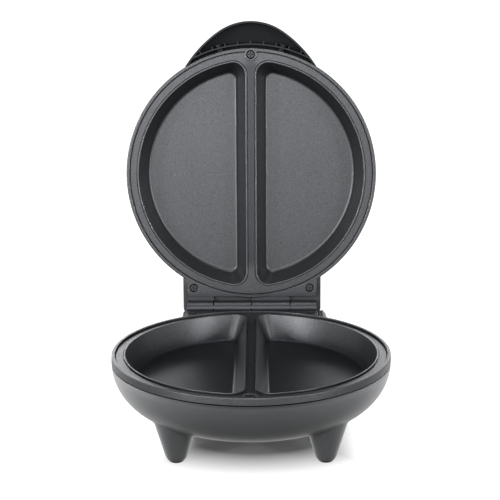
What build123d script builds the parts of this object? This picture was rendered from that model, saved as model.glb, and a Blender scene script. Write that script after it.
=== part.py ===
from build123d import *
from math import cos, radians, sin, sqrt, tan
import os

os.makedirs("parts", exist_ok=True)

# Omelette maker with two half-moon wells in each plate, shown with its lid raised.
# It is modelled closed, with the parting plane between the plates at height zero and the
# plates' centre line upright. Then the lid is swung open and the whole is stood on its feet.
# X runs to the right, Y to the back where the hinge is, Z up. All sizes are millimetres.

# The whole maker
plate_radius = 112.4
hinge_setback = 9.1
lid_open_angle = 94.7
parting_height = 72.0
closed_gap = 0.3

# Cooking plate casting, the same for base and lid
skirt_height = 5.5
skirt_draft = 0.3
edge_round = 0.7
ring_width = 2.6
step_depth = 1.7
ring_groove_width = 0.9
ring_groove_depth = 0.8
land_thickness = 2.8
lip_height = 1.3
lip_width = 1.0
lip_groove_width = 0.8
lip_groove_depth = 0.6
cast_wall = 2.6
well_rim = 10.9
well_depth = 22.0
well_side_run = 7.4
divider_width = 9.5
divider_side_run = 8.5
opening_corner = 11.0
floor_corner = 7.0
floor_round = 3.0
spigot_depth = 2.9
spigot_width = 2.4
spigot_clearance = 0.4

# Hinge
flange_half_width = 59.1
flange_setback = 10.4
flange_corner = 2.5
knuckle_radius = 6.1
knuckle_split = 34.8
knuckle_gap = 0.8
neck_drop = 2.2
pin_radius = 2.0
pin_clearance = 0.04
pin_recess = 0.6
pin_chamfer = 0.4

# Plate screws and their pads
front_screw_inset = 5.6
back_screw_inset = 6.2
back_screw_setback = 7.7
pad_radius = 5.5
plate_screw_radius = 1.95
plate_screw_length = 15.0
plate_head_radius = 3.5
plate_head_height = 2.3
head_bevel = 0.75
head_clearance = 0.4
head_sink = 0.3
shank_clearance = 0.25
pilot_clearance = 0.03
recess_span = 4.4
recess_width = 1.0
recess_depth = 1.2
boss_radius = 4.6

# Shells
seam_gap = 0.9
shell_overhang = 0.2
shell_wall = 2.4
base_side_run = 46.2
base_depth = 42.1
lid_side_run = 46.2
lid_depth = 40.0
block_side_cover = 4.2
block_back_cover = 12.5
base_block_depth = 33.8
lid_block_depth = 27.0
block_corner = 13.0
block_side_round = 4.0
block_overlap = 41.0
stop_gap = 0.15
trough_clearance = 1.1
flange_well_margin = 2.4

# Legs and feet
leg_end_radius = 5.4
leg_knee_radius = 8.9
leg_knee_height = 5.6
leg_taper = 16.3
leg_sole_walls = 2.0
front_leg_inset = 31.0
front_leg_angle = 45.1
back_leg_inset = 20.3
back_leg_setback = 18.5
leg_blend = 4.0
back_leg_blend = 2.0
pad_foot_radius = 4.2
pad_foot_thickness = 2.6
pad_foot_stand = 0.6
pad_foot_clearance = 0.1
pad_foot_round = 0.5

# Cord outlet on the right of the hinge block
outlet_inset = 4.3
outlet_drop = 14.5
outlet_radius = 10.5
outlet_setback = 10.5
gland_bore_radius = 3.6
gland_sleeve_radius = 5.4
gland_flange_radius = 7.4
gland_flange_thickness = 2.2
gland_nose = 3.6
gland_nose_wall = 0.8
gland_clearance = 0.1
lid_side_clearance = 1.2

# Handle
handle_proud = 23.6
handle_nose_radius = 50.6
handle_nose_angle = 34.5
handle_side_radius = 108.0
handle_side_angle = 32.0
handle_wall = 1.8
handle_skin = 2.2
handle_under = 2.6
handle_root_depth = 9.6
handle_top_back = 20.0
handle_top_front = 9.5
handle_crown = 2.4
handle_edge_round = 2.0
ledge_gap = 2.6
ledge_wall = 1.4
rib_count = 9
rib_pitch_angle = 5.6
rib_length = 2.4
rib_thickness = 1.1
handle_boss_angle = 14.0
handle_boss_height = 13.6
handle_boss_radius = 4.2
handle_boss_reach = 6.8
handle_shank_radius = 1.95
handle_screw_length = 12.0
handle_seat = 3.4
shell_fit = 0.2

# Heating element and its clips
element_radius = 62.0
tube_radius = 3.25
element_gap_angle = 62.0
bend_radius = 5.5
cold_end = 1.5
bead_radius = 4.2
bead_length = 2.5
tab_width = 6.3
tab_thickness = 0.8
tab_length = 4.5
seat_gap = 0.05
clip_angles = (0.0, 180.0, 236.0, 304.0)
clip_width = 7.0
clip_clearance = 0.15
clip_thickness = 1.0
clip_foot = 7.0
clip_screw_radius = 1.45
clip_screw_length = 2.4
clip_head_radius = 2.8
clip_head_height = 1.6
clip_thread_end = 0.4

# Heat shield
shield_margin = 26.0
shield_lip = 5.0
shield_lip_run = 3.0
shield_thickness = 0.8
shield_drop = 8.6
shield_window = 22.0
shield_port_radius = 6.5
stud_x = 36.0
stud_y = 24.0
stud_radius = 4.0
shield_screw_radius = 1.45
shield_screw_length = 6.0
shield_head_radius = 2.9
shield_head_height = 1.8

# Thermostat and thermal cut-out
mount_length = 34.0
mount_width = 17.0
thermostat_radius = 8.0
thermostat_height = 9.0
strap_thickness = 1.2
strap_length = 32.0
strap_width = 9.0
strap_pitch = 24.0
blade_width = 6.3
blade_thickness = 0.8
blade_length = 5.5
strap_screw_radius = 1.45
strap_screw_length = 5.0

# Thermal fuse and its strap
fuse_radius = 2.2
fuse_length = 14.0
fuse_lead_radius = 1.1
fuse_lead_span = 28.0
fuse_x = 0.0
fuse_y = -48.0
fuse_strap_width = 6.0
fuse_strap_thickness = 0.8
fuse_strap_foot = 5.0

# Terminal block
terminal_width = 34.0
terminal_depth = 15.0
terminal_height = 12.0
terminal_setback = 14.5
terminal_ways = 3
terminal_pitch = 10.0
terminal_bore = 2.2
terminal_screw_radius = 1.75
terminal_screw_length = 5.0
terminal_mount_pitch = 28.0
terminal_bore_drop = 1.0
terminal_groove_depth = 3.0
terminal_groove_width = 1.0
terminal_corner = 1.0
block_screw_radius = 1.45
block_screw_length = 15.0
block_head_radius = 2.8
block_head_height = 1.7
block_screw_boss = 3.6
block_boss_height = 4.0

# Indicator lamps in the lid
lens_x = 9.0
lens_y = -46.0
lens_radius = 3.5
lens_flange_radius = 5.0
lens_flange_thickness = 1.2
lens_proud = 0.7
lens_clearance = 0.1
lens_round = 0.5
lamp_radius = 2.2
lamp_length = 10.0
lamp_gap = 0.3
lamp_rise = 0.4
cradle_wall = 0.9
lamp_end = 0.8
carrier_width = 46.0
carrier_depth = 13.0
carrier_thickness = 1.6
carrier_screw_x = 19.0
lamp_screw_radius = 1.2
lamp_screw_length = 6.0
lamp_head_radius = 2.4
lamp_head_height = 1.2
lamp_boss_radius = 2.9

# Vent slots in the bottom of the base
vent_count = 7
vent_pitch = 9.0
vent_width = 3.0
vent_length = 40.0

# Heights and radii worked out from the sizes above
hinge_back = plate_radius + hinge_setback
well_radius = plate_radius - well_rim
shell_radius = plate_radius + shell_overhang
base_flat_radius = shell_radius - base_side_run
lid_flat_radius = shell_radius - lid_side_run
handle_reach = shell_radius + handle_proud
ledge_radius = shell_radius + ledge_gap
shield_radius = plate_radius - shield_margin
block_half_width = flange_half_width + block_side_cover
base_block_back = hinge_back + block_back_cover
block_front = plate_radius - block_overlap
front_leg_x = (shell_radius - front_leg_inset) * sin(radians(front_leg_angle))
front_leg_y = (front_leg_inset - shell_radius) * cos(radians(front_leg_angle))
back_leg_x = block_half_width - back_leg_inset
back_leg_y = hinge_back - back_leg_setback
outlet_x = block_half_width - outlet_inset
outlet_front = hinge_back - outlet_setback
terminal_y = hinge_back - terminal_setback
face_z = -closed_gap / 2
land_z = face_z - step_depth
under_land_z = land_z - land_thickness
lip_z = land_z + lip_height
skirt_z = face_z - skirt_height
floor_z = face_z - well_depth
under_floor_z = floor_z - cast_wall
step_radius = plate_radius - ring_width
half_divider = divider_width / 2
seam_z = skirt_z - seam_gap
base_bottom_z = seam_z - base_depth
base_block_z = seam_z - base_block_depth
lid_seam_z = -seam_z
lid_top_z = lid_seam_z + lid_depth
lid_block_z = lid_seam_z + lid_block_depth
flange_back_y = hinge_back - flange_setback
front_screw_y = front_screw_inset - plate_radius
back_screw_x = flange_half_width - back_screw_inset
back_screw_y = flange_back_y - back_screw_setback
foot_z = -parting_height
leg_end_z = foot_z + pad_foot_stand
spigot_radius = shell_radius - shell_wall - spigot_clearance
element_z = under_floor_z - tube_radius - seat_gap
shield_z = under_floor_z - shield_drop
outlet_z = -outlet_drop
terminal_floor_z = base_block_z + shell_wall
lamp_z = lid_top_z - shell_wall - lens_flange_thickness - lamp_gap - lamp_radius
carrier_z = lamp_z - lamp_radius - lamp_rise
through = 4 * plate_radius
overlap = 1.0
quarter_turn = 90
halfway = 0.5


def tube_between(radius, low, high):
    """Upright cylinder from one height to another."""
    return Pos(0, 0, (low + high) / 2) * Cylinder(radius, high - low)


def slab(width, depth, low, high):
    """Upright block from one height to another, centred on the axis."""
    return Pos(0, 0, (low + high) / 2) * Box(width, depth, high - low)


def block(x_low, x_high, y_low, y_high, z_low, z_high):
    """Block between two corners."""
    centre = Pos((x_low + x_high) / 2, (y_low + y_high) / 2, (z_low + z_high) / 2)
    return centre * Box(x_high - x_low, y_high - y_low, z_high - z_low)


def bar_along_x(radius, x_low, x_high):
    """Round bar along X, on the hinge axis."""
    place = Pos((x_low + x_high) / 2, hinge_back, 0)
    return place * Rot(0, 90, 0) * Cylinder(radius, x_high - x_low)


def spun(points):
    """Body of revolution about the upright axis from radius and height pairs."""
    outline = Polyline(*[(r, 0, z) for r, z in points], close=True)
    return revolve(make_face(outline), Axis.Z, 360)


def turned_over(piece):
    """The casting and what is fixed to it, turned over to face down from the lid."""
    return Rot(0, 180, 0) * piece


def swung_open(piece):
    """A closed lid piece, swung up about the hinge axis to its stop."""
    return Pos(0, hinge_back, 0) * Rot(-lid_open_angle, 0, 0) * Pos(0, -hinge_back, 0) * piece


def pan_screw(shank, length, head, head_height, crossed=False):
    """Screw with its seat at height zero: the plate screws have a crossed and bevelled head."""
    screw = tube_between(head, 0, head_height)
    if crossed:
        screw = chamfer(screw.edges().group_by(Axis.Z)[-1], head_bevel)
    screw += tube_between(shank, -length, 0)
    if crossed:
        arms = Box(recess_span, recess_width, recess_depth) + Box(recess_width, recess_span, recess_depth)
        screw -= Pos(0, 0, head_height - recess_depth / 2) * arms
    return screw


def half_moon(radius, inner, corner):
    """Half-moon outline on the right of the divider, with its two corners rounded."""
    moon = Circle(radius) & (Pos(inner + radius, 0) * Rectangle(2 * radius, through))
    return fillet(moon.vertices(), corner)


def well_form(grow, top, bottom):
    """Tapered form of one well, grown outwards, between two heights."""
    fall = floor_z - lip_z

    def section(z):
        share = (z - lip_z) / fall
        radius = well_radius - well_side_run * share + grow
        inner = half_divider + divider_side_run * share - grow
        corner = opening_corner + (floor_corner - opening_corner) * share + grow
        return (Pos(0, 0, z) * half_moon(radius, inner, corner)).face()

    return loft([section(top), section(bottom)])


def both_sides(piece):
    """A piece on the right of the divider and its mirror image on the left."""
    return piece + mirror(piece, about=Plane.YZ)


def plate_screw_places():
    """Where the three screws hold a plate to its shell."""
    return [(0, front_screw_y), (-back_screw_x, back_screw_y), (back_screw_x, back_screw_y)]


def stud_places():
    """Where the heat shield's studs stand under the well floors."""
    return [(x, y) for x in (-stud_x, stud_x) for y in (-stud_y, stud_y)]


def knuckle_spans():
    """The two stretches of the hinge axis that one casting's knuckles fill."""
    half_gap = knuckle_gap / 2
    return [(-knuckle_split + half_gap, -half_gap), (knuckle_split + half_gap, flange_half_width)]


def cooking_plate():
    """Cast cooking plate: ring, land, grooves, lipped wells, hinge flange, knuckles, studs and screw pads."""
    outer = plate_radius + skirt_draft
    hollow = spigot_radius - spigot_width
    spigot_z = skirt_z - spigot_depth
    plate = spun([(0, face_z), (plate_radius, face_z), (outer, skirt_z), (spigot_radius, skirt_z),
                  (spigot_radius, spigot_z), (hollow, spigot_z), (hollow, under_land_z),
                  (0, under_land_z)])
    rim = plate.edges().filter_by(GeomType.CIRCLE).group_by(Axis.Z)[-1].sort_by(SortBy.RADIUS)[-1]
    plate = fillet(rim, edge_round)
    flange_front = sqrt(plate_radius ** 2 - flange_half_width ** 2)
    flange = block(-flange_half_width, flange_half_width, flange_front, flange_back_y, skirt_z, face_z)
    flange = fillet(flange.edges().filter_by(Axis.Z).group_by(Axis.Y)[-1], flange_corner)
    flange -= tube_between(hollow, skirt_z - overlap, under_land_z)
    plate += flange
    for low, high in knuckle_spans():
        plate += block(low, high, flange_back_y - overlap, hinge_back, skirt_z, face_z - neck_drop)
        plate += bar_along_x(knuckle_radius, low, high)
    plate -= tube_between(step_radius, land_z, overlap)
    groove_z = land_z - ring_groove_depth
    groove = tube_between(step_radius, groove_z, land_z)
    plate -= groove - tube_between(step_radius - ring_groove_width, groove_z, land_z)
    plate += Pos(0, front_screw_y) * tube_between(pad_radius, skirt_z, face_z)
    mount = extrude(Pos(0, 0, under_floor_z) * SlotOverall(mount_length, mount_width, rotation=90),
                    land_z - under_floor_z - overlap)
    foot = lip_width + lip_groove_width
    moat_z = land_z - lip_groove_depth
    moats = extrude(Pos(0, 0, moat_z) * half_moon(well_radius + foot, half_divider - foot, opening_corner + foot),
                    lip_groove_depth)
    lips = extrude(Pos(0, 0, moat_z) * half_moon(well_radius + lip_width, half_divider - lip_width,
                                                 opening_corner + lip_width), lip_z - moat_z)
    cups = well_form(cast_wall, under_land_z + overlap, under_floor_z)
    cavity = well_form(0, lip_z, floor_z)
    cavity = fillet(cavity.faces().sort_by(Axis.Z)[0].edges(), floor_round)
    mouth = extrude(Pos(0, 0, lip_z) * half_moon(well_radius, half_divider, opening_corner), overlap * 2)
    plate += mount
    plate += both_sides(cups)
    plate -= both_sides(moats)
    plate += both_sides(lips)
    plate -= both_sides(mouth)
    plate -= both_sides(cavity)
    for x, y in stud_places():
        plate += Pos(x, y) * tube_between(stud_radius, shield_z, under_floor_z + overlap)
        plate -= Pos(x, y) * tube_between(shield_screw_radius + pilot_clearance, shield_z - overlap,
                                          shield_z + shield_screw_length)
    for x, y in plate_screw_places():
        plate -= Pos(x, y) * tube_between(plate_head_radius + head_clearance,
                                          face_z - head_sink - plate_head_height, overlap)
        plate -= Pos(x, y) * tube_between(plate_screw_radius + shank_clearance, spigot_z - overlap, 0)
    plate -= Pos(0, front_screw_y) * tube_between(boss_radius + spigot_clearance, spigot_z - overlap,
                                                  skirt_z)
    for x, y in clip_screw_places():
        plate -= Pos(x, y) * tube_between(clip_screw_radius + pilot_clearance,
                                          under_floor_z - overlap, under_floor_z + clip_screw_length)
    for y in (-strap_pitch / 2, strap_pitch / 2):
        plate -= Pos(0, y) * tube_between(strap_screw_radius + pilot_clearance,
                                          under_floor_z - overlap, under_floor_z + strap_screw_length)
    plate -= bar_along_x(pin_radius + pin_clearance, -flange_half_width - overlap,
                         flange_half_width + overlap)
    return plate


def plate_screws():
    """The three cross-head screws that hold a plate down."""
    screw = pan_screw(plate_screw_radius, plate_screw_length, plate_head_radius, plate_head_height, True)
    seat = face_z - head_sink - plate_head_height
    return [Pos(x, y, seat) * screw for x, y in plate_screw_places()]


def heating_element():
    """Bent tube under the wells, open towards the hinge, with cold ends, beads and tabs."""
    section = Pos(element_radius, 0, element_z) * (Plane.XZ * Circle(tube_radius))
    start = 90 + element_gap_angle / 2
    tube = Rot(0, 0, start) * revolve(section, Axis.Z, 360 - element_gap_angle)
    bend_axis = Axis((0, 0, -bend_radius), (0, 1, 0))
    end = revolve(Plane.YZ * Circle(tube_radius), bend_axis, 90)
    drop = -bend_radius - cold_end
    end += Pos(bend_radius, 0) * tube_between(tube_radius, drop, -bend_radius)
    end += Pos(bend_radius, 0) * tube_between(bead_radius, drop - bead_length, drop)
    end += Pos(bend_radius, 0) * slab(tab_width, tab_thickness, drop - bead_length - tab_length,
                                      drop - bead_length)
    for turn in (-1, 1):
        angle = 90 + turn * element_gap_angle / 2
        place = Rot(0, 0, angle) * Pos(element_radius, 0, element_z)
        tube += place * Rot(0, 0, -90 * turn) * end
    return tube


def clip_screw_places():
    """One screw for each clip, on the outer side of the element's tube."""
    reach = element_radius + tube_radius + clip_thickness + clip_foot / 2
    return [(reach * cos(radians(angle)), reach * sin(radians(angle))) for angle in clip_angles]


def element_clips():
    """Saddle clips with one foot each that hold the element up against the well floors."""
    half = tube_radius + clip_thickness
    saddle = Cylinder(half, clip_width, rotation=(90, 0, 0))
    saddle += slab(2 * half, clip_width, 0, under_floor_z - element_z)
    foot_low = under_floor_z - element_z - clip_thickness
    foot = Pos(half + clip_foot / 2, 0) * slab(clip_foot + clip_thickness, clip_width, foot_low,
                                               under_floor_z - element_z)
    bore = Cylinder(tube_radius + clip_clearance, clip_width + overlap, rotation=(90, 0, 0))
    bore += slab(2 * (tube_radius + clip_clearance), clip_width + overlap, 0, half)
    clip = saddle + foot - bore
    clip -= Pos(half + clip_foot / 2, 0) * tube_between(clip_screw_radius + shank_clearance,
                                                        foot_low - overlap, half)
    return [Rot(0, 0, a) * Pos(element_radius, 0, element_z) * clip for a in clip_angles]


def clip_screws():
    """Small screws through the feet of the clips, heads down."""
    screw = Rot(180, 0, 0) * pan_screw(clip_screw_radius, clip_thickness + clip_screw_length - clip_thread_end,
                                       clip_head_radius, clip_head_height)
    seat = under_floor_z - clip_thickness
    return [Pos(x, y, seat) * screw for x, y in clip_screw_places()]


def heat_shield():
    """Dished sheet below the element, hung from the four studs."""
    low = shield_z - shield_thickness
    inner = shield_radius - shield_lip_run
    dish = spun([(shield_window, shield_z), (inner, shield_z), (shield_radius, shield_z + shield_lip),
                 (shield_radius + shield_thickness, shield_z + shield_lip),
                 (inner + shield_thickness, low), (shield_window, low)])
    for x, y in stud_places():
        dish -= Pos(x, y) * tube_between(shield_screw_radius + shank_clearance, low - overlap,
                                         shield_z + overlap)
    for turn in (-1, 1):
        angle = 90 + turn * element_gap_angle / 2
        port = Rot(0, 0, angle) * Pos(element_radius, -turn * bend_radius)
        dish -= port * tube_between(shield_port_radius, low - overlap, shield_z + overlap)
    return dish


def shield_screws():
    """Screws up through the shield into the studs."""
    screw = Rot(180, 0, 0) * pan_screw(shield_screw_radius, shield_screw_length, shield_head_radius,
                                       shield_head_height)
    return [Pos(x, y, shield_z - shield_thickness) * screw for x, y in stud_places()]


def snap_switch():
    """Disc thermostat: round body on a strap with two ears and two blades."""
    top = under_floor_z
    body = tube_between(thermostat_radius, top - thermostat_height, top)
    strap = extrude(Pos(0, 0, top - strap_thickness) * SlotOverall(strap_length, strap_width, rotation=90),
                    strap_thickness)
    for y in (-strap_pitch / 2, strap_pitch / 2):
        strap -= Pos(0, y) * tube_between(strap_screw_radius + shank_clearance,
                                          top - strap_thickness - overlap, top + overlap)
    switch = body + strap
    for x in (-thermostat_radius / 2, thermostat_radius / 2):
        switch += Pos(x, 0) * slab(blade_thickness, blade_width, top - thermostat_height - blade_length,
                                   top - thermostat_height)
    return switch


def strap_screws():
    """The two screws through the thermostat's ears."""
    screw = Rot(180, 0, 0) * pan_screw(strap_screw_radius, strap_screw_length, clip_head_radius,
                                       clip_head_height)
    seat = under_floor_z - strap_thickness
    return [Pos(0, y, seat) * screw for y in (-strap_pitch / 2, strap_pitch / 2)]


def dome(flat_radius, depth, inset):
    """Solid bowl below the seam: flat bottom, then a quarter-ellipse side up to the rim."""
    run = shell_radius - flat_radius - inset
    side = EllipticalCenterArc((flat_radius, 0), run, depth - inset, 270, arc_size=quarter_turn)
    rim = shell_radius - inset
    edges = [side, Line((rim, 0), (rim, overlap)), Line((rim, overlap), (0, overlap)),
             Line((0, overlap), (0, inset - depth)), Line((0, inset - depth), (flat_radius, inset - depth))]
    solid = revolve(Plane.XZ * make_face(edges), Axis.Z, 360)
    return solid


def base_block(inset):
    """Hinge block behind the bowl: flat top, rounded lower back corner."""
    back = base_block_back - inset
    bottom = base_block_z + inset
    top = seam_z - inset
    turn = bottom + block_corner - inset
    inner_back = back - block_corner + inset
    outline = Polyline((inner_back, bottom), (block_front, bottom), (block_front, top), (back, top), (back, turn))
    corner = RadiusArc((back, turn), (inner_back, bottom), block_corner - inset)
    half = block_half_width - inset
    form = Pos(-half, 0, 0) * extrude(Plane.YZ * make_face(outline.edges() + [corner]), 2 * half)
    sides = form.edges().filter_by(Axis.Z).group_by(Axis.Y)[-1]
    return fillet(sides, block_side_round - inset)


def lid_block(inset):
    """Hinge block behind the lid: its back leans so that it lands flat on the base block when open."""
    lean = tan(radians(lid_open_angle - 90))
    rise = cos(radians(lid_open_angle - 90))

    def back_at(z):
        return hinge_back + (-seam_z - stop_gap) / rise - z * lean - inset

    bottom = lid_seam_z + inset
    top = lid_block_z - inset
    turn = top - block_corner + inset
    outline = Polyline((back_at(turn), turn), (back_at(bottom), bottom), (block_front, bottom),
                       (block_front, top), (back_at(top) - block_corner + inset, top))
    corner = Spline((back_at(turn), turn), (back_at(top) - block_corner + inset, top),
                    tangents=[(-lean, 1), (-1, 0)])
    half = block_half_width - inset
    form = Pos(-half, 0, 0) * extrude(Plane.YZ * make_face(outline.edges() + [corner]), 2 * half)
    steep = form.edges().filter_by(
        lambda edge: abs(edge.tangent_at(halfway).Z) > edge.tangent_at(halfway).Y + halfway)
    sides = [edge for edge in steep if edge.center().Y > block_front + overlap]
    return fillet(sides, block_side_round - inset)


def leg_form(inset, top):
    """One conical leg with a rounded end, standing on the axis and cut off at a height inside the shell."""
    end = leg_end_z + leg_sole_walls * inset
    knee = leg_end_z + leg_knee_height + inset
    knee_radius = leg_knee_radius - inset
    end_radius = leg_end_radius - inset
    top_radius = knee_radius + (top - knee) * tan(radians(leg_taper))
    shank = Line((knee_radius, knee), (top_radius, top))
    round_over = TangentArc((knee_radius, knee), (end_radius, end), tangent=shank % 0 * -1)
    edges = [Line((0, end), (end_radius, end)), round_over, shank,
             Line((top_radius, top), (0, top)), Line((0, top), (0, end))]
    return revolve(Plane.XZ * make_face(edges), Axis.Z, 360)


def leg_places():
    """Where the two front and the two back legs stand."""
    front = [(x, front_leg_y) for x in (-front_leg_x, front_leg_x)]
    back = [(x, back_leg_y) for x in (-back_leg_x, back_leg_x)]
    return front, back


def legged(body, places, inset, top):
    """A body with legs at the given places, which reach up to a height inside it."""
    leg = leg_form(inset, top)
    for x, y in places:
        body += Pos(x, y) * leg
    return body


def plate_bosses(floor):
    """Screw posts from the plate's underside down to a floor, with their pilot holes."""
    posts = []
    holes = []
    for x, y in plate_screw_places():
        posts.append(Pos(x, y) * tube_between(boss_radius, floor, skirt_z))
        low = face_z - head_sink - plate_head_height - plate_screw_length - overlap
        holes.append(Pos(x, y) * tube_between(plate_screw_radius + pilot_clearance, low, 0))
    return posts, holes


def flange_well():
    """Opening in the hinge block's top, under the plate's hinge flange."""
    half = flange_half_width - flange_well_margin
    back = flange_back_y - flange_well_margin
    return block(-half, half, block_front, back, seam_z - shell_wall - overlap, overlap)


def base_shell():
    """Moulded base: bowl, hinge block, four hollow legs, cord outlet, screw posts and block posts."""
    front_places, back_places = leg_places()
    front_top = seam_z - base_depth / 2
    body = Pos(0, 0, seam_z) * dome(base_flat_radius, base_depth, 0) + base_block(0)
    bowl = legged(Pos(0, 0, seam_z) * dome(base_flat_radius, base_depth, 0), front_places, 0, front_top)
    bowl = fillet(bowl.edges().filter_by(GeomType.BSPLINE), leg_blend)
    hinge_block = legged(base_block(0), back_places, 0, terminal_floor_z)
    roots = hinge_block.edges().filter_by(GeomType.CIRCLE).filter_by_position(
        Axis.Z, base_block_z - shell_fit, base_block_z + shell_fit)
    hinge_block = fillet(roots, back_leg_blend)
    outside = bowl + hinge_block
    outlet = Pos(outlet_x, 0, outlet_z) * Rot(90, 0, 0) * Cylinder(outlet_radius, through)
    outlet &= block(0, through, outlet_front, base_block_back, -through, overlap)
    outlet -= block(-through, block_half_width + lid_side_clearance, 0, through, seam_z, through)
    outside += outlet
    outside -= slab(through, through, seam_z, through) - block(
        block_half_width + lid_side_clearance, through, outlet_front, through, -through, through)
    inside = Pos(0, 0, seam_z) * dome(base_flat_radius, base_depth, shell_wall)
    hollow = Pos(outlet_x, 0, outlet_z) * Rot(90, 0, 0) * Cylinder(outlet_radius - shell_wall, through)
    hollow &= block(0, through, outlet_front + shell_wall, base_block_back - shell_wall, -through, 0)
    cavity = inside + base_block(shell_wall) + hollow
    cavity = legged(cavity, front_places, shell_wall, front_top + overlap)
    cavity = legged(cavity, back_places, shell_wall, terminal_floor_z + overlap)
    cavity += flange_well()
    shell = outside - cavity
    posts, holes = plate_bosses(base_bottom_z)
    for post in posts:
        shell += post & (body + slab(through, through, seam_z - overlap, through))
    for x in (-terminal_mount_pitch / 2, terminal_mount_pitch / 2):
        stand = Pos(x, terminal_y) * tube_between(block_screw_boss, terminal_floor_z - overlap,
                                                  terminal_floor_z + block_boss_height)
        shell += stand
        low = terminal_floor_z + block_boss_height + terminal_height - block_screw_length
        shell -= Pos(x, terminal_y) * tube_between(block_screw_radius + pilot_clearance, low - overlap, 0)
    for hole in holes:
        shell -= hole
    for x, y in front_places + back_places:
        shell -= Pos(x, y) * tube_between(pad_foot_radius + pad_foot_clearance, foot_z,
                                          foot_z + pad_foot_thickness)
    shell -= bar_along_x(knuckle_radius + trough_clearance, -flange_half_width - overlap,
                         flange_half_width + overlap)
    slot = extrude(SlotOverall(vent_length, vent_width, rotation=90), 2 * shell_wall, both=True)
    for number in range(vent_count):
        shell -= Pos((number - (vent_count - 1) / 2) * vent_pitch, 0, base_bottom_z) * slot
    gland = Pos(outlet_x, 0, outlet_z) * Rot(90, 0, 0) * Cylinder(gland_sleeve_radius + gland_clearance, through)
    shell -= gland & block(0, through, base_block_back - 2 * shell_wall, through, -through, through)
    return shell


def foot_pads():
    """Round pads set in the leg ends."""
    pad = tube_between(pad_foot_radius, foot_z, foot_z + pad_foot_thickness)
    pad = chamfer(pad.edges().group_by(Axis.Z)[0], pad_foot_round)
    front_places, back_places = leg_places()
    return [Pos(x, y) * pad for x, y in front_places + back_places]


def cord_gland():
    """Bush through the hinge block's back wall: flange outside, sleeve and bore for the cord."""
    back = base_block_back
    sleeve = Cylinder(gland_sleeve_radius, 2 * shell_wall + gland_flange_thickness)
    sleeve = Pos(0, 0, -shell_wall + gland_flange_thickness / 2) * sleeve
    flange = tube_between(gland_flange_radius, 0, gland_flange_thickness)
    nose = Pos(0, 0, gland_flange_thickness) * Cone(
        gland_sleeve_radius, gland_bore_radius + gland_nose_wall, gland_nose,
        align=(Align.CENTER, Align.CENTER, Align.MIN))
    bush = sleeve + flange + nose
    bush -= Cylinder(gland_bore_radius, through)
    return Pos(outlet_x, back, outlet_z) * Rot(-90, 0, 0) * bush


def hinge_pin():
    """Plain pin through all four knuckles, with chamfered ends."""
    half = flange_half_width - pin_recess
    pin = bar_along_x(pin_radius, -half, half)
    return chamfer(pin.edges().filter_by(GeomType.CIRCLE), pin_chamfer)


def terminal_block():
    """Terminal block for the cord and the leads, with wire ways, screw wells and two mounting holes."""
    low = terminal_floor_z + block_boss_height
    top = low + terminal_height
    body = Pos(0, terminal_y) * slab(terminal_width, terminal_depth, low, top)
    body = fillet(body.edges().filter_by(Axis.Z), terminal_corner)
    middle = (terminal_ways - 1) / 2
    for way in range(terminal_ways):
        x = (way - middle) * terminal_pitch
        wire_way = Pos(x, terminal_y, low + terminal_height / 2 - terminal_bore_drop) * Rot(90, 0, 0)
        body -= wire_way * Cylinder(terminal_bore, terminal_depth + overlap)
        body -= Pos(x, terminal_y) * tube_between(terminal_screw_radius + pilot_clearance,
                                                  top - terminal_screw_length, top)
    for x in (-terminal_pitch / 2, terminal_pitch / 2):
        body -= Pos(x, terminal_y) * slab(terminal_groove_width, terminal_depth + overlap,
                                          top - terminal_groove_depth, top)
    for x in (-terminal_mount_pitch / 2, terminal_mount_pitch / 2):
        body -= Pos(x, terminal_y) * tube_between(block_screw_radius + shank_clearance, low, top)
    return body


def terminal_screws():
    """Grub screws that clamp the wires, flush with the terminal block's top."""
    top = terminal_floor_z + block_boss_height + terminal_height
    middle = (terminal_ways - 1) / 2
    low = top - terminal_screw_length + shell_fit
    screw = tube_between(terminal_screw_radius, low, top - shell_fit)
    screw -= slab(2 * terminal_screw_radius, tab_thickness, top - recess_depth, top)
    return [Pos((way - middle) * terminal_pitch, terminal_y) * screw for way in range(terminal_ways)]


def terminal_block_screws():
    """The two screws that hold the terminal block on its posts."""
    top = terminal_floor_z + block_boss_height + terminal_height
    screw = pan_screw(block_screw_radius, block_screw_length, block_head_radius, block_head_height)
    return [Pos(x, terminal_y, top) * screw for x in (-terminal_mount_pitch / 2, terminal_mount_pitch / 2)]


def thermal_fuse():
    """Thermal fuse lying under the heat shield, with its crimped ends."""
    z = shield_z - shield_thickness - fuse_radius - seat_gap
    fuse = Cylinder(fuse_radius, fuse_length, rotation=(0, 90, 0))
    fuse += Cylinder(fuse_lead_radius, fuse_lead_span, rotation=(0, 90, 0))
    return Pos(fuse_x, fuse_y, z) * fuse


def fuse_strap():
    """Bent strap that holds the thermal fuse up against the shield, with a foot each side."""
    z = shield_z - shield_thickness
    half = fuse_radius + fuse_strap_thickness + seat_gap
    axis_z = -fuse_radius - seat_gap
    saddle = Pos(0, 0, axis_z) * Cylinder(half, fuse_strap_width, rotation=(0, 90, 0))
    saddle += slab(fuse_strap_width, 2 * half, axis_z, 0)
    saddle += slab(fuse_strap_width, 2 * (half + fuse_strap_foot), -fuse_strap_thickness, 0)
    bore = Pos(0, 0, axis_z) * Cylinder(fuse_radius + seat_gap, through, rotation=(0, 90, 0))
    bore += slab(through, 2 * (fuse_radius + seat_gap), axis_z, overlap)
    return Pos(fuse_x, fuse_y, z) * (saddle - bore)


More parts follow.
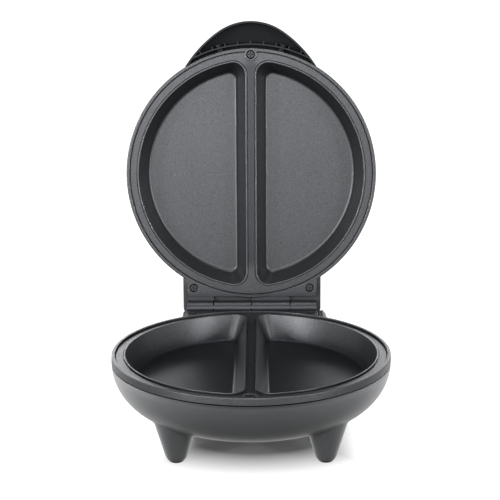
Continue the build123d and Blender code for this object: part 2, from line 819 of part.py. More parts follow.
def lid_shell():
    """Moulded lid: dome, hinge block, screw posts, lens holes, lamp posts and handle screw pads."""
    flip = Rot(180, 0, 0)
    outside = Pos(0, 0, lid_seam_z) * flip * dome(lid_flat_radius, lid_depth, 0)
    outside += lid_block(0)
    outside -= slab(through, through, -through, lid_seam_z)
    inside = Pos(0, 0, lid_seam_z) * flip * dome(lid_flat_radius, lid_depth, shell_wall)
    cavity = inside + lid_block(shell_wall) + turned_over(flange_well())
    shell = outside - cavity
    body = Pos(0, 0, lid_seam_z) * flip * dome(lid_flat_radius, lid_depth, 0) + lid_block(0)
    posts, holes = plate_bosses(-lid_top_z)
    for post in posts:
        shell += turned_over(post) & (body + slab(through, through, 0, lid_seam_z + overlap))
    seat_radius = shell_radius - shell_wall - handle_seat
    for angle in (-handle_boss_angle, handle_boss_angle):
        place = Rot(0, 0, angle) * Pos(0, 0, handle_boss_height) * Rot(90, 0, 0)
        pad = place * tube_between(handle_boss_radius, seat_radius, shell_radius)
        shell += pad & body
        shell -= place * tube_between(handle_shank_radius + shank_clearance, 0, through)
    inner_top = lid_top_z - shell_wall
    for x in (-lens_x, lens_x):
        shell -= Pos(x, lens_y) * tube_between(lens_radius + lens_clearance, inner_top - overlap, through)
    for x in (-carrier_screw_x, carrier_screw_x):
        shell += Pos(x, lens_y) * tube_between(lamp_boss_radius, carrier_z, lid_top_z - shell_wall / 2)
        shell -= Pos(x, lens_y) * tube_between(lamp_screw_radius + pilot_clearance, 0,
                                               inner_top + overlap)
    for hole in holes:
        shell -= turned_over(hole)
    shell -= bar_along_x(knuckle_radius + trough_clearance, -flange_half_width - overlap,
                         flange_half_width + overlap)
    return shell


def lens():
    """Indicator lens: low round button outside, flange inside."""
    inner_top = lid_top_z - shell_wall
    button = tube_between(lens_radius, inner_top - lens_flange_thickness, lid_top_z + lens_proud)
    button = chamfer(button.edges().group_by(Axis.Z)[-1], lens_round)
    return button + tube_between(lens_flange_radius, inner_top - lens_flange_thickness, inner_top)


def lamp_carrier():
    """Tray under the lenses with two lamp cradles, screwed to two posts."""
    low = carrier_z - carrier_thickness
    tray = Pos(0, lens_y) * slab(carrier_width, carrier_depth, low, carrier_z)
    tray = fillet(tray.edges().filter_by(Axis.Z), carrier_thickness)
    for x in (-carrier_screw_x, carrier_screw_x):
        tray -= Pos(x, lens_y) * tube_between(lamp_screw_radius + shank_clearance, low, carrier_z)
    cradle = slab(2 * (lamp_radius + cradle_wall), carrier_depth - 2 * carrier_thickness, carrier_z, lamp_z)
    cradle -= Pos(0, 0, lamp_z) * Rot(90, 0, 0) * Cylinder(lamp_radius + seat_gap, through)
    for x in (-lens_x, lens_x):
        tray += Pos(x, lens_y) * cradle
    return tray


def neon_lamps():
    """Two small neon lamps lying in the cradles, one under each lens."""
    lamp = Rot(90, 0, 0) * Cylinder(lamp_radius, lamp_length)
    lamp = chamfer(lamp.edges().filter_by(GeomType.CIRCLE), lamp_end)
    return [Pos(x, lens_y, lamp_z) * lamp for x in (-lens_x, lens_x)]


def lamp_screws():
    """Two small screws up through the tray."""
    screw = Rot(180, 0, 0) * pan_screw(lamp_screw_radius, lamp_screw_length, lamp_head_radius, lamp_head_height)
    return [Pos(x, lens_y, carrier_z - carrier_thickness) * screw for x in (-carrier_screw_x, carrier_screw_x)]


def crescent(inset):
    """Handle outline: round nose and two tangent flanks back to the lid's rim."""
    nose = JernArc((0, -handle_reach + inset), (1, 0), handle_nose_radius - inset, handle_nose_angle)
    flank = JernArc(nose @ 1, nose % 1, handle_side_radius - inset, handle_side_angle)
    right = nose.edges() + flank.edges()
    left = [mirror(edge, about=Plane.YZ) for edge in right]
    back = Line(flank @ 1, (-(flank @ 1).X, (flank @ 1).Y))
    return make_face(right + left + [back])


def crowned_cap(drop):
    """Body that limits the handle's top: highest at the lid, falling in a soft crown to the nose."""
    back = shell_radius - handle_root_depth
    front = handle_reach + overlap
    top_back = handle_top_back - drop
    top_front = handle_top_front - drop
    middle = ((back + front) / 2, (top_back + top_front) / 2 + handle_crown)
    crown = ThreePointArc((front, top_front), middle, (back, top_back))
    outline = Polyline((back, top_back), (back, 0), (front, 0), (front, top_front))
    return revolve(Plane.XZ * make_face(outline.edges() + [crown]), Axis.Z, 360)


def handle():
    """Hollow crescent handle, open below: thin outer wall, inner ledge with small ribs, screw posts."""
    grip = extrude(Pos(0, 0, handle_under) * crescent(0), handle_top_back) & crowned_cap(0)
    top_edges = grip.edges().filter_by(lambda e: e.center().Z > handle_top_front - overlap
                                       and e.center().Y < -shell_radius)
    grip = fillet(top_edges, handle_edge_round)
    hollow = extrude(Pos(0, 0, handle_under - overlap) * crescent(handle_wall), handle_top_back)
    hollow &= crowned_cap(handle_skin)
    grip -= hollow
    core = crowned_cap(handle_skin / 2) & extrude(Pos(0, 0, handle_under) * crescent(handle_wall / 2),
                                                  handle_top_back)
    ledge = tube_between(ledge_radius + ledge_wall, handle_under, handle_top_back)
    ledge -= tube_between(ledge_radius, handle_under - overlap, handle_top_back + overlap)
    middle = (rib_count - 1) / 2
    for number in range(rib_count):
        rib = block(-rib_thickness / 2, rib_thickness / 2, -ledge_radius - ledge_wall - rib_length,
                    -ledge_radius - ledge_wall / 2, handle_under, handle_top_back)
        ledge += Rot(0, 0, (number - middle) * rib_pitch_angle) * rib
    for angle in (-handle_boss_angle, handle_boss_angle):
        place = Rot(0, 0, angle) * Pos(0, 0, handle_boss_height) * Rot(90, 0, 0)
        ledge += place * tube_between(handle_boss_radius, shell_radius - shell_wall,
                                      shell_radius + handle_boss_reach)
    grip += ledge & core
    for angle in (-handle_boss_angle, handle_boss_angle):
        place = Rot(0, 0, angle) * Pos(0, 0, handle_boss_height) * Rot(90, 0, 0)
        grip -= place * tube_between(handle_shank_radius + pilot_clearance, 0,
                                     shell_radius - shell_wall - handle_seat + handle_screw_length + overlap)
    skin = Pos(0, 0, lid_seam_z) * Rot(180, 0, 0) * dome(lid_flat_radius, lid_depth, -shell_fit)
    grip -= skin
    grip -= tube_between(shell_radius + shell_fit, -overlap, lid_seam_z + overlap)
    return grip


def handle_screws():
    """Two screws from inside the lid into the handle's posts."""
    screw = pan_screw(handle_shank_radius, handle_screw_length, plate_head_radius, plate_head_height)
    seat = shell_radius - shell_wall - handle_seat
    inward = Pos(0, 0, handle_boss_height) * Rot(90, 0, 0) * Pos(0, 0, seat) * Rot(180, 0, 0)
    return [Rot(0, 0, angle) * inward * screw for angle in (-handle_boss_angle, handle_boss_angle)]


base_pieces = {
    "base_shell": base_shell(),
    "foot_pads": foot_pads(),
    "lower_plate": cooking_plate(),
    "lower_plate_screws": plate_screws(),
    "lower_element": heating_element(),
    "lower_element_clips": element_clips(),
    "lower_clip_screws": clip_screws(),
    "lower_heat_shield": heat_shield(),
    "lower_shield_screws": shield_screws(),
    "thermostat": snap_switch(),
    "thermostat_screws": strap_screws(),
    "thermal_fuse": thermal_fuse(),
    "fuse_strap": fuse_strap(),
    "terminal_block": terminal_block(),
    "terminal_screws": terminal_screws(),
    "terminal_block_screws": terminal_block_screws(),
    "cord_gland": cord_gland(),
    "hinge_pin": hinge_pin(),
}

# What the lid shares with the base is turned over, and the rest is modelled where it lies
casting_pieces = {
    "upper_plate": "lower_plate",
    "upper_plate_screws": "lower_plate_screws",
    "upper_element": "lower_element",
    "upper_element_clips": "lower_element_clips",
    "upper_clip_screws": "lower_clip_screws",
    "upper_heat_shield": "lower_heat_shield",
    "upper_shield_screws": "lower_shield_screws",
    "thermal_cutout": "thermostat",
    "cutout_screws": "thermostat_screws",
}
lid_pieces = {
    "lid_shell": lid_shell(),
    "handle": handle(),
    "handle_screws": handle_screws(),
    "power_lens": Pos(-lens_x, lens_y) * lens(),
    "ready_lens": Pos(lens_x, lens_y) * lens(),
    "lamp_carrier": lamp_carrier(),
    "neon_lamps": neon_lamps(),
    "lamp_screws": lamp_screws(),
}


def solids_of(piece):
    """All solids of a piece or of a group of like pieces."""
    group = piece if isinstance(piece, list) else [piece]
    return [solid for member in group for solid in member.solids()]


pieces = {name: solids_of(piece) for name, piece in base_pieces.items()}
for name, twin in casting_pieces.items():
    pieces[name] = [swung_open(turned_over(solid)) for solid in pieces[twin]]
for name, piece in lid_pieces.items():
    pieces[name] = [swung_open(solid) for solid in solids_of(piece)]

# The origin lies on the surface it stands on, midway between the front and the back of the open maker
boxes = [solid.bounding_box() for group in pieces.values() for solid in group]
front_y = min(box.min.Y for box in boxes)
rear_y = max(box.max.Y for box in boxes)
middle_y = (front_y + rear_y) / 2
for name, group in pieces.items():
    standing = [Pos(0, -middle_y, parting_height) * solid for solid in group]
    shape = standing[0] if len(standing) == 1 else Compound(standing)
    export_step(shape, f"parts/{name}.step")
print("origin set back by", round(middle_y, 3))
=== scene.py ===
from math import radians
import bpy
from mathutils import Matrix, Vector


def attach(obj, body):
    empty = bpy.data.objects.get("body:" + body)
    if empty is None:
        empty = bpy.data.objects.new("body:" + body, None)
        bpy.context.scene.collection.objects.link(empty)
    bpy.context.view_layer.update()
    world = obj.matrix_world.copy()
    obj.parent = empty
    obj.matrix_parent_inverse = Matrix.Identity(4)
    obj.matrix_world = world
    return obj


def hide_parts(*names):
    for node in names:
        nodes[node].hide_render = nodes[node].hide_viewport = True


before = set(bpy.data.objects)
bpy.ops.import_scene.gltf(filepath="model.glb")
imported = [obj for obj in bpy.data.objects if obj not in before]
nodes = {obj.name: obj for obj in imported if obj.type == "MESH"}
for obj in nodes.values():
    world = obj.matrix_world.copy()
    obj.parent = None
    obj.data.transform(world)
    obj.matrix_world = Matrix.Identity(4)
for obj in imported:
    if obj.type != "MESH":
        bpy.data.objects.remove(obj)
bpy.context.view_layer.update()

print("frame loaded:", len(nodes), "nodes")

hingeLine = (0.0, 0.086115, 0.072)
shaderSamples = {"edge": 6, "gap": 8}
white = (1, 1, 1, 1)
black = (0, 0, 0, 1)


def shade(red, green, blue):
    # a colour as it is read off a screen, 0 to 255, as a linear one
    parts = []
    for value in (red, green, blue):
        value = value / 255
        parts.append(value / 12.92 if value <= 0.04045 else ((value + 0.055) / 1.055) ** 2.4)
    return (*parts, 1.0)


class Wire:
    # one output of a shader node, so that shader maths reads as plain sums
    def __init__(self, board, socket):
        self.board = board
        self.socket = socket

    def maths(self, operation, *values):
        return self.board.node("ShaderNodeMath", {"operation": operation}, dict(enumerate(values)))

    def __add__(self, other):
        return self.maths("ADD", self, other)

    def __radd__(self, other):
        return self.maths("ADD", other, self)

    def __sub__(self, other):
        return self.maths("SUBTRACT", self, other)

    def __rsub__(self, other):
        return self.maths("SUBTRACT", other, self)

    def __mul__(self, other):
        return self.maths("MULTIPLY", self, other)

    def __rmul__(self, other):
        return self.maths("MULTIPLY", other, self)

    def __abs__(self):
        return self.maths("ABSOLUTE", self)


class Board:
    # the node tree of a material or a world, with one way to add a node
    def __init__(self, owner, shader, constants):
        owner.use_nodes = True
        self.tree = owner.node_tree
        self.shader = self.tree.nodes[shader]
        for socket, value in constants.items():
            self.shader.inputs[socket.replace("_", " ")].default_value = value

    def node(self, kind, settings=None, sockets=None, out=0):
        made = self.tree.nodes.new(kind)
        for name, value in (settings or {}).items():
            if name == "stops":
                self.setStops(made.color_ramp.elements, value)
            else:
                setattr(made, name, value)
        for name, value in (sockets or {}).items():
            if isinstance(value, Wire):
                self.tree.links.new(value.socket, made.inputs[name])
            else:
                made.inputs[name].default_value = value
        return Wire(self, made.outputs[out])

    def setStops(self, elements, stops):
        # a new ramp has its two ends, and the stops between them are added
        for spot, level in stops[1:-1]:
            elements.new(spot)
        for element, (spot, level) in zip(elements, stops):
            element.position = spot
            element.color = (level, level, level, 1)

    def feed(self, **wires):
        for socket, wire in wires.items():
            self.tree.links.new(wire.socket, self.shader.inputs[socket.replace("_", " ")])

    def along(self, vector, axis):
        return self.node("ShaderNodeSeparateXYZ", {}, {0: vector}, out=axis)

    def levels(self, wire, stops):
        # a ramp of grey levels
        return self.node("ShaderNodeValToRGB", {"stops": stops}, {"Fac": wire})

    def above(self, wire, low, high):
        # 0 below the first value and 1 above the second
        return self.levels(wire, ((low, 0.0), (high, 1.0)))

    def below(self, wire, low, high):
        # 1 below the first value and 0 above the second
        return 1 - self.above(wire, low, high)

    def blend(self, share, first, second):
        # the colours of a Mix node are its sockets 6 and 7, and its output 2
        return self.node("ShaderNodeMix", {"data_type": "RGBA"}, {0: share, 6: first, 7: second}, out=2)


class Finish(Board):
    # a procedural material on the Principled shader
    def __init__(self, name, **constants):
        self.material = bpy.data.materials.new(name)
        super().__init__(self.material, "Principled BSDF", constants)
        self.place = self.node("ShaderNodeTexCoord", out="Object")

    def noise(self, scale, detail=2.0, rough=0.5, stretch=None):
        place = self.place
        if stretch:
            place = self.node("ShaderNodeMapping", {}, {"Vector": place, "Scale": stretch})
        sockets = {"Vector": place, "Scale": scale, "Detail": detail, "Roughness": rough}
        return self.node("ShaderNodeTexNoise", {}, sockets, out="Fac")

    def tones(self, share, own):
        # between the two tones of a finish
        return self.blend(share, shade(*own["dark"]), shade(*own["light"]))

    def stain(self, body, mask, colour):
        # another colour over part of the body, for real marks and for painted shade and highlight alike
        return self.blend(mask, body, shade(*colour))

    def softened(self, radius):
        # the normal with every sharp edge rounded off
        return self.node("ShaderNodeBevel", {"samples": shaderSamples["edge"]}, {"Radius": radius})

    def edges(self, radius, low, high):
        # 1 along sharp edges and 0 on the faces
        plain = self.node("ShaderNodeNewGeometry", out="Normal")
        kept = self.node("ShaderNodeVectorMath", {"operation": "DOT_PRODUCT"},
                         {0: plain, 1: self.softened(radius)}, out="Value")
        return self.above(1 - kept, low, high)

    def gapShade(self, reach, low, high):
        # 1 deep in narrow gaps and grooves, where painted shade darkens the colour
        openness = self.node("ShaderNodeAmbientOcclusion", {"samples": shaderSamples["gap"]},
                             {"Distance": reach}, out="AO")
        return self.below(openness, low, high)

    def fromHinge(self):
        # distance from the hinge line, the same along the open lid and along the base
        flat = self.node("ShaderNodeVectorMath", {"operation": "MULTIPLY"},
                         {0: self.place, 1: (0, 1, 1)})
        return self.node("ShaderNodeVectorMath", {"operation": "DISTANCE"},
                         {0: flat, 1: hingeLine}, out="Value")

    def relief(self, height, depth, normal=None):
        sockets = {"Height": height, "Distance": depth, "Strength": 1.0}
        if normal:
            sockets["Normal"] = normal
        return self.node("ShaderNodeBump", {}, sockets)


# noises are given as waves to the metre, detail and roughness, lengths in metres, and a pair of
# values says where something begins and where it is full
plateCoat = {
    "dark": (61, 62, 65), "light": (96, 97, 99), "wearAndSheen": (186, 188, 190),
    "divider": (54, 56, 60), "wellShadeTone": (32, 35, 42), "gapShadeTone": (6, 6, 7),
    "grain": (1300.0, 3.0, 0.6), "grainDepth": 0.00004, "speckle": (0.28, 0.72),
    "cloud": (22.0, 4.0, 0.55), "edge": 0.00045, "edgeBend": (0.015, 0.09), "wearAndSheenShare": 0.5,
    "hingeEnd": (0.014, 0.02), "hingeWear": 0.2,
    "dividerSide": (0.0038, 0.005), "dividerBack": (0.034, 0.042), "dividerFront": (0.219, 0.225),
    "dividerShare": 0.8, "knuckles": (0.012, 0.016), "knuckleShare": 0.5,
    "wellFloor": (0.0505, 0.0575), "wellShadeShare": 0.6, "gap": 0.0022, "gapLight": (0.3, 0.75),
    "rough": 0.34, "roughCloud": 0.08, "roughGrain": 0.05, "roughWorn": 0.08, "metallic": 0.85, "ior": 1.5,
}


def nonStickCoating(own):
    # sprayed dark coating on the castings: fine orange peel, faint clouds, edges lightened as wear and
    # painted highlight
    look = Finish("nonStickCoating", Metallic=own["metallic"], IOR=own["ior"])
    grain = look.noise(*own["grain"])
    cloud = look.noise(*own["cloud"])
    body = look.tones(look.above(grain, *own["speckle"]), own)
    # painted shade: the top of the divider and the knuckles are painted darker
    away = look.fromHinge()
    dividerShade = look.below(abs(look.along(look.place, "X")), *own["dividerSide"])
    dividerShade = dividerShade * look.above(away, *own["dividerBack"]) * look.below(away, *own["dividerFront"])
    body = look.stain(body, dividerShade * own["dividerShare"], own["divider"])
    body = look.stain(body, look.below(away, *own["knuckles"]) * own["knuckleShare"], own["divider"])
    # painted shade: the bottom of the base's wells is painted darker and bluer, standing for the shade and
    # dark reflection there
    low = look.below(look.along(look.place, "Z"), *own["wellFloor"])
    body = look.stain(body, low * own["wellShadeShare"], own["wellShadeTone"])
    # edges are lightened, partly as rubbed wear and partly as painted highlight, but hardly at the hinge
    reached = own["hingeWear"] + look.above(away, *own["hingeEnd"]) * (1 - own["hingeWear"])
    rim = look.edges(own["edge"], *own["edgeBend"]) * reached
    body = look.stain(body, rim * own["wearAndSheenShare"], own["wearAndSheen"])
    rough = own["rough"] + cloud * own["roughCloud"] + grain * own["roughGrain"]
    # painted shade: narrow gaps and grooves are darkened in the colour
    look.feed(Base_Color=look.stain(body, look.gapShade(own["gap"], *own["gapLight"]), own["gapShadeTone"]),
              Roughness=rough - rim * own["roughWorn"],
              Normal=look.relief(grain, own["grainDepth"], look.softened(own["edge"])))
    return look.material


shellPaint = {
    "dark": (80, 81, 82), "light": (94, 95, 96), "wearAndSheen": (140, 141, 143),
    "block": (36, 37, 39), "gapShadeTone": (5, 5, 6),
    "flake": 5200.0, "flakeShare": 0.6, "cloud": (14.0, 3.0), "peel": (420.0, 2.0), "peelDepth": 0.00002,
    "edge": 0.0008, "edgeBend": (0.02, 0.12), "wearAndSheenShare": 0.3,
    "blockEnd": (0.02, 0.034), "blockShare": 0.9,
    "seamFoot": (0.0645, 0.0648), "seamTop": (0.068, 0.069), "gap": 0.003, "gapLight": (0.45, 0.95),
    "rough": 0.3, "roughCloud": 0.06, "roughFlake": 0.04, "roughBlock": 0.3, "roughSeam": 0.4,
    "metallic": 0.5, "lacquer": 0.12, "lacquerRough": 0.2,
}


def metallicMoulding(own):
    # satin grey moulding with fine metallic flake under a thin lacquer
    look = Finish("metallicMoulding", Coat_Roughness=own["lacquerRough"])
    cells = look.node("ShaderNodeTexVoronoi", {}, {"Vector": look.place, "Scale": own["flake"]},
                      out="Color")
    flake = look.node("ShaderNodeSeparateColor", {}, {0: cells})
    cloud = look.noise(*own["cloud"])
    body = look.tones(flake * own["flakeShare"] + cloud * (1 - own["flakeShare"]), own)
    # edges are lightened as wear and painted sheen
    rim = look.edges(own["edge"], *own["edgeBend"])
    body = look.stain(body, rim * own["wearAndSheenShare"], own["wearAndSheen"])
    # painted shade: the hinge blocks are painted darkest, and they are also rougher, not metallic and
    # without lacquer
    awayFromBlocks = look.above(look.fromHinge(), *own["blockEnd"])
    body = look.stain(body, (1 - awayFromBlocks) * own["blockShare"], own["block"])
    # painted shade: a dark band just under the plate's rim stands for the shadow in the seam gap, and it
    # gets no lacquer and is rougher
    height = look.along(look.place, "Z")
    seamShade = look.above(height, *own["seamFoot"]) * look.below(height, *own["seamTop"]) * awayFromBlocks
    body = look.stain(body, seamShade, own["gapShadeTone"])
    rough = own["rough"] + cloud * own["roughCloud"] + flake * own["roughFlake"]
    rough = rough + (1 - awayFromBlocks) * own["roughBlock"] + seamShade * own["roughSeam"]
    peel = look.noise(*own["peel"])
    # painted shade: narrow gaps are darkened in the colour
    look.feed(Base_Color=look.stain(body, look.gapShade(own["gap"], *own["gapLight"]), own["gapShadeTone"]),
              Roughness=rough, Metallic=awayFromBlocks * own["metallic"],
              Coat_Weight=awayFromBlocks * (1 - seamShade) * own["lacquer"],
              Normal=look.relief(peel, own["peelDepth"], look.softened(own["edge"])))
    return look.material


plastics = {
    "handlePlastic": {"dark": (20, 22, 24), "light": (34, 37, 39), "rough": 0.36, "grain": 1900.0,
                      "grainDepth": 0.00003, "specular": 0.25},
    "footRubber": {"dark": (18, 18, 19), "light": (30, 30, 31), "rough": 0.6, "grain": 1200.0,
                   "grainDepth": 0.00004, "specular": 0.5},
    "glandRubber": {"dark": (20, 20, 21), "light": (32, 32, 34), "rough": 0.5, "grain": 1500.0,
                    "grainDepth": 0.00003, "specular": 0.5},
    "whiteNylon": {"dark": (196, 193, 184), "light": (222, 219, 210), "rough": 0.4, "grain": 1500.0,
                   "grainDepth": 0.00002, "specular": 0.5},
    "switchCeramic": {"dark": (206, 200, 186), "light": (226, 221, 208), "rough": 0.5, "grain": 800.0,
                      "grainDepth": 0.00003, "specular": 0.5},
}
plasticSkin = {
    "grainDetail": (4.0, 0.6), "cloud": (30.0, 3.0), "edge": 0.0005, "edgeBend": (0.03, 0.3),
    "cloudShare": 0.5, "grainShare": 0.3, "wearAndSheenShare": 0.3,
    "roughGrain": 0.08, "roughCloud": 0.06, "roughWorn": 0.1,
}


def grainedPlastic(name, own, skin):
    # moulded plastic or rubber with an eroded grain and slightly polished edges, lightened as wear and
    # painted sheen
    look = Finish(name, Specular_IOR_Level=own["specular"])
    grain = look.noise(own["grain"], *skin["grainDetail"])
    cloud = look.noise(*skin["cloud"])
    rim = look.edges(skin["edge"], *skin["edgeBend"])
    tone = cloud * skin["cloudShare"] + grain * skin["grainShare"] + rim * skin["wearAndSheenShare"]
    rough = own["rough"] + grain * skin["roughGrain"] + cloud * skin["roughCloud"]
    look.feed(Base_Color=look.tones(tone, own), Roughness=rough - rim * skin["roughWorn"],
              Normal=look.relief(grain, own["grainDepth"], look.softened(skin["edge"])))
    return look.material


metals = {
    "blackenedScrew": {"dark": (58, 59, 61), "light": (100, 101, 103), "rough": 0.34,
                       "stretch": (1, 1, 0.2), "gap": 0.002},
    "platedScrew": {"dark": (150, 150, 148), "light": (196, 196, 194), "rough": 0.3,
                    "stretch": (1, 1, 0.2), "gap": 0.001},
    "groundPin": {"dark": (150, 151, 153), "light": (190, 191, 193), "rough": 0.22,
                  "stretch": (0.05, 1, 1), "gap": 0.001},
    "brightSheet": {"dark": (176, 178, 180), "light": (206, 208, 210), "rough": 0.28,
                    "stretch": (0.03, 1, 1), "gap": 0.001},
    "plainBrass": {"dark": (186, 146, 74), "light": (214, 178, 104), "rough": 0.3,
                   "stretch": (1, 1, 0.3), "gap": 0.001},
}
metalSkin = {
    "scratch": (900.0, 3.0, 0.6), "scratchDepth": 0.00001, "cloud": (60.0, 3.0),
    "edge": 0.0003, "edgeBend": (0.03, 0.3), "scratchShare": 0.4, "cloudShare": 0.4, "wearAndSheenShare": 0.2,
    "gapShadeTone": (8, 8, 8), "gapLight": (0.2, 0.7), "roughScratch": 0.12, "roughCloud": 0.1, "metallic": 1.0,
}


def brushedMetal(name, own, skin):
    # drawn, turned or ground metal with fine scratches one way and a few dull clouds
    look = Finish(name, Metallic=skin["metallic"])
    scratch = look.noise(*skin["scratch"], own["stretch"])
    cloud = look.noise(*skin["cloud"])
    rim = look.edges(skin["edge"], *skin["edgeBend"])
    # edges are lightened as wear and painted sheen, and painted shade darkens narrow gaps
    tone = scratch * skin["scratchShare"] + cloud * skin["cloudShare"] + rim * skin["wearAndSheenShare"]
    gapShadeMask = look.gapShade(own["gap"], *skin["gapLight"])
    look.feed(Base_Color=look.stain(look.tones(tone, own), gapShadeMask, skin["gapShadeTone"]),
              Roughness=own["rough"] + scratch * skin["roughScratch"] + cloud * skin["roughCloud"],
              Normal=look.relief(scratch, skin["scratchDepth"], look.softened(skin["edge"])))
    return look.material


heaterTube = {
    "straw": (118, 102, 84), "blue": (96, 100, 108), "soot": (60, 58, 56), "sootShare": 0.3,
    "band": (45.0, 4.0, 0.6), "bandEdge": (0.35, 0.65), "grain": (1400.0, 3.0), "grainDepth": 0.00002,
    "rough": 0.38, "roughGrain": 0.12, "metallic": 0.9,
}


def tintedSheath(own):
    # heater tube: steel gone straw and blue-grey with heat
    look = Finish("tintedSheath", Metallic=own["metallic"])
    grain = look.noise(*own["grain"])
    band = look.above(look.noise(*own["band"]), *own["bandEdge"])
    tint = look.blend(band, shade(*own["straw"]), shade(*own["blue"]))
    look.feed(Base_Color=look.stain(tint, grain * own["sootShare"], own["soot"]),
              Roughness=own["rough"] + grain * own["roughGrain"],
              Normal=look.relief(grain, own["grainDepth"]))
    return look.material


lenses = {
    "redLens": {"dark": (120, 8, 6), "light": (196, 26, 18)},
    "greenLens": {"dark": (8, 92, 26), "light": (28, 150, 58)},
    "lampGlass": {"dark": (188, 172, 160), "light": (224, 212, 200)},
}
lensSkin = {
    "swirl": (260.0, 3.0), "swirlDepth": 0.00002, "swirlShare": 0.5, "wearAndSheenShare": 0.4,
    "edge": 0.0005, "edgeBend": (0.03, 0.3), "softEdge": 0.0004,
    "rough": 0.12, "ior": 1.49, "coat": 0.6, "coatRough": 0.06,
}


def clearLens(name, own, skin):
    # coloured clear button over an indicator lamp
    look = Finish(name, Roughness=skin["rough"], IOR=skin["ior"], Coat_Weight=skin["coat"],
                  Coat_Roughness=skin["coatRough"])
    swirl = look.noise(*skin["swirl"])
    rim = look.edges(skin["edge"], *skin["edgeBend"])
    # edges are lightened as wear and painted sheen
    look.feed(Base_Color=look.tones(swirl * skin["swirlShare"] + rim * skin["wearAndSheenShare"], own),
              Normal=look.relief(swirl, skin["swirlDepth"], look.softened(skin["softEdge"])))
    return look.material


materials = {"coating": nonStickCoating(plateCoat), "moulding": metallicMoulding(shellPaint),
             "sheath": tintedSheath(heaterTube)}
materials.update({name: grainedPlastic(name, own, plasticSkin) for name, own in plastics.items()})
materials.update({name: brushedMetal(name, own, metalSkin) for name, own in metals.items()})
materials.update({name: clearLens(name, own, lensSkin) for name, own in lenses.items()})

# what isn't listed is a plated screw
finishes = {
    "base_shell": "moulding", "lid_shell": "moulding", "lower_plate": "coating", "upper_plate": "coating",
    "handle": "handlePlastic", "foot_pads": "footRubber", "cord_gland": "glandRubber",
    "lower_plate_screws": "blackenedScrew", "upper_plate_screws": "blackenedScrew",
    "hinge_pin": "groundPin", "lower_element": "sheath", "upper_element": "sheath",
    "lower_element_clips": "brightSheet", "upper_element_clips": "brightSheet",
    "lower_heat_shield": "brightSheet", "upper_heat_shield": "brightSheet", "fuse_strap": "brightSheet",
    "thermostat": "switchCeramic", "thermal_cutout": "switchCeramic", "thermal_fuse": "switchCeramic",
    "terminal_block": "whiteNylon", "lamp_carrier": "whiteNylon", "terminal_screws": "plainBrass",
    "power_lens": "redLens", "ready_lens": "greenLens", "neon_lamps": "lampGlass",
}
for name, item in nodes.items():
    for slot in item.material_slots:
        slot.material = materials[finishes.get(name, "platedScrew")]
print("finishes made:", len(materials))

# castings and mouldings have no knife edges: each gets a copy whose edges are really rounded
roundings = [
    {"node": "lower_plate", "name": "lowerPlateRounded", "body": "base", "slot": "plate", "width": 0.00035},
    {"node": "upper_plate", "name": "upperPlateRounded", "body": "lid", "slot": "plate", "width": 0.00035},
    {"node": "base_shell", "name": "baseShellRounded", "body": "base", "slot": "shell", "width": 0.0003},
    {"node": "lid_shell", "name": "lidShellRounded", "body": "lid", "slot": "shell", "width": 0.0005},
    {"node": "handle", "name": "handleRounded", "body": "lid", "slot": "handle_plastic", "width": 0.0003},
]
# merge in metres, angles in degrees
rounding = {"merge": 0.000002, "flat": 0.3, "sharp": 32.0, "steps": 2, "smooth": 40.0, "flatWeight": 100}


def roundEdges(job):
    source = nodes[job["node"]]
    piece = bpy.data.objects.new(job["name"], source.data.copy())
    bpy.context.scene.collection.objects.link(piece)
    bpy.ops.object.select_all(action="DESELECT")
    piece.select_set(True)
    bpy.context.view_layer.objects.active = piece
    # loose triangles become one skin, with whole faces where it is flat
    bpy.ops.mesh.customdata_custom_splitnormals_clear()
    bpy.ops.object.mode_set(mode="EDIT")
    bpy.ops.mesh.select_all(action="SELECT")
    bpy.ops.mesh.remove_doubles(threshold=rounding["merge"])
    bpy.ops.mesh.normals_make_consistent(inside=False)
    bpy.ops.mesh.dissolve_limited(angle_limit=radians(rounding["flat"]))
    bpy.ops.object.mode_set(mode="OBJECT")
    bevel = piece.modifiers.new("edges", "BEVEL")
    bevel.width = job["width"]
    bevel.segments = rounding["steps"]
    bevel.limit_method = "ANGLE"
    bevel.angle_limit = radians(rounding["sharp"])
    bpy.ops.object.modifier_apply(modifier=bevel.name)
    bpy.ops.object.shade_smooth_by_angle(angle=radians(rounding["smooth"]))
    # flat faces stay flat right up to the rounding beside them
    weights = piece.modifiers.new("flatness", "WEIGHTED_NORMAL")
    weights.mode = "FACE_AREA"
    weights.weight = rounding["flatWeight"]
    weights.keep_sharp = True
    bpy.ops.object.modifier_apply(modifier=weights.name)
    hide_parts(job["node"])
    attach(piece, job["body"])
    return len(piece.data.polygons)


print("faces of the rounded copies:", [roundEdges(job) for job in roundings])

# where the camera stands: metres from the middle of the plates' ring, angles in degrees, and the
# focal length and the width of the picture in its pixels
view = {
    "ring": Vector((0.0, -0.035385, 0.072)), "back": 0.86592, "up": 0.28383, "aside": -0.00041,
    "turn": 0.45, "down": 13.10, "roll": -0.33, "focal": 1120.17, "width": 500, "sensor": 36.0, "far": 20,
}


def setCamera():
    lens = bpy.data.cameras.new("camera")
    lens.sensor_width = view["sensor"]
    lens.lens = view["focal"] / view["width"] * view["sensor"]
    lens.clip_end = view["far"]
    camera = bpy.data.objects.new("camera", lens)
    bpy.context.scene.collection.objects.link(camera)
    heading = Matrix.Rotation(radians(view["turn"]), 4, "Z")
    spot = heading @ Vector((view["aside"], -view["back"], view["up"]))
    aim = heading @ Matrix.Rotation(radians(90 - view["down"]), 4, "X")
    roll = Matrix.Rotation(radians(view["roll"]), 4, "Z")
    camera.matrix_world = Matrix.Translation(view["ring"] + spot) @ aim @ roll
    bpy.context.scene.camera = camera


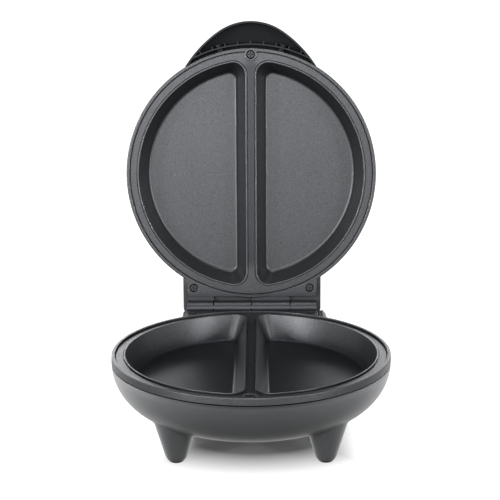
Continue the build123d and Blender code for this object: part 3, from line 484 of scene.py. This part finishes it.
# the shadow is partly cast on the floor's dim diffuse tone and mostly painted into its glow, which is dark
# up to the first of each pair of lengths and gone at the second
paper = {
    "size": 60.0, "middle": (0, -0.0354, 0), "tone": 0.2, "rough": 0.9, "glow": 1.05,
    "dust": (3.0, 2.0), "dustShare": 0.1,
    "shadow": (0.043, 0.091), "shadowShift": (-0.002, 0, 0), "shadowSquash": (0.7, 1, 1),
    "legMiddle": 0.006, "pastLegs": (0.05, 0.082),
}


def layPaper():
    bpy.ops.object.select_all(action="DESELECT")
    bpy.ops.mesh.primitive_plane_add(size=paper["size"], location=paper["middle"])
    floor = bpy.context.object
    floor.name = "floor"
    look = Finish("paleFloor", Roughness=paper["rough"], Emission_Strength=paper["glow"])
    # the painted shadow under the bowl is wider than it is deep
    spot = look.node("ShaderNodeMapping", {}, {"Vector": look.place, "Location": paper["shadowShift"],
                                               "Scale": paper["shadowSquash"]})
    away = look.node("ShaderNodeVectorMath", {"operation": "LENGTH"}, {0: spot}, out="Value")
    glow = look.above(away, *paper["shadow"])
    # and it ends soon outside the legs
    across = abs(look.along(look.place, "X") - paper["legMiddle"])
    glow = glow.maths("MAXIMUM", glow, look.above(across, *paper["pastLegs"]))
    tone = paper["tone"]
    dust = look.noise(*paper["dust"]) * paper["dustShare"]
    look.feed(Base_Color=look.blend(dust, (tone, tone, tone, 1), white),
              Emission_Color=look.blend(glow, black, white))
    floor.data.materials.append(look.material)
    # the paper throws little light back up at the bowl
    floor.visible_diffuse = False
    floor.visible_glossy = False


# grey levels from straight down, 0, to straight up, 1, in front and behind, and where they change
room = {
    "light": 1.02,
    "front": ((0.0, 0.12), (0.3, 0.25), (0.44, 1.0), (0.62, 1.0), (0.86, 0.1)),
    "behind": ((0.0, 0.2), (0.3, 1.1), (0.48, 1.4), (0.7, 1.0), (0.88, 0.12)), "change": (0.6, 0.8),
}


def setRoom():
    world = bpy.data.worlds.new("surround")
    bpy.context.scene.world = world
    walls = Board(world, "Background", {"Strength": room["light"]})
    # a direction's parts run from -1 to 1, and a ramp's from 0 to 1
    heading = walls.node("ShaderNodeTexCoord", out="Generated")
    height = walls.along(heading, "Z") * 0.5 + 0.5
    depth = walls.along(heading, "Y") * 0.5 + 0.5
    walls.feed(Color=walls.blend(walls.above(depth, *room["change"]), walls.levels(height, room["front"]),
                                 walls.levels(height, room["behind"])))


# the two with bowlOnly stand low, reach under the plate's rim and light nothing but the bowl
lamps = [
    {"name": "front", "at": (-0.4, -2.4, 0.75), "to": (0, 0, 0.2), "size": (1.6, 0.8), "power": 18.5},
    {"name": "sideLeft", "at": (-1.7, -1.6, 0.6), "to": (0, 0, 0.2), "size": (0.25, 1.0), "power": 31},
    {"name": "sideRight", "at": (1.7, -1.6, 0.6), "to": (0, 0, 0.2), "size": (0.25, 1.0), "power": 22},
    {"name": "left", "at": (-1.9, 0.4, 0.25), "to": (0, 0, 0.05), "size": (0.8, 0.6), "power": 140,
     "bowlOnly": True},
    {"name": "right", "at": (1.9, 0.4, 0.25), "to": (0, 0, 0.05), "size": (0.8, 0.6), "power": 100,
     "bowlOnly": True},
    {"name": "above", "at": (0.0, -0.9, 2.1), "to": (0, 0, 0.1), "size": (1.0, 0.7), "power": 5},
    {"name": "overhead", "at": (0.0, -0.15, 2.2), "to": (0, -0.03, 0.07), "size": (1.8, 0.3), "power": 14},
    {"name": "backLeft", "at": (-0.8, 2.2, 0.85), "to": (0, 0, 0.1), "size": (0.9, 0.6), "power": 11},
    {"name": "backRight", "at": (0.8, 2.2, 0.85), "to": (0, 0, 0.1), "size": (0.9, 0.6), "power": 9},
]


def hangLamps():
    bowl = bpy.data.collections.new("bowl")
    bowl.objects.link(bpy.data.objects["baseShellRounded"])
    for lamp in lamps:
        data = bpy.data.lights.new(lamp["name"], "AREA")
        data.shape = "RECTANGLE"
        data.size, data.size_y = lamp["size"]
        data.energy = lamp["power"]
        item = bpy.data.objects.new(lamp["name"], data)
        bpy.context.scene.collection.objects.link(item)
        if lamp.get("bowlOnly"):
            item.light_linking.receiver_collection = bowl
        item.location = lamp["at"]
        toward = Vector(lamp["to"]) - Vector(lamp["at"])
        item.rotation_euler = toward.to_track_quat("-Z", "Y").to_euler()


setCamera()
layPaper()
setRoom()
hangLamps()
bpy.context.scene.view_settings.view_transform = "Standard"
print("studio set:", len(lamps), "lamps")
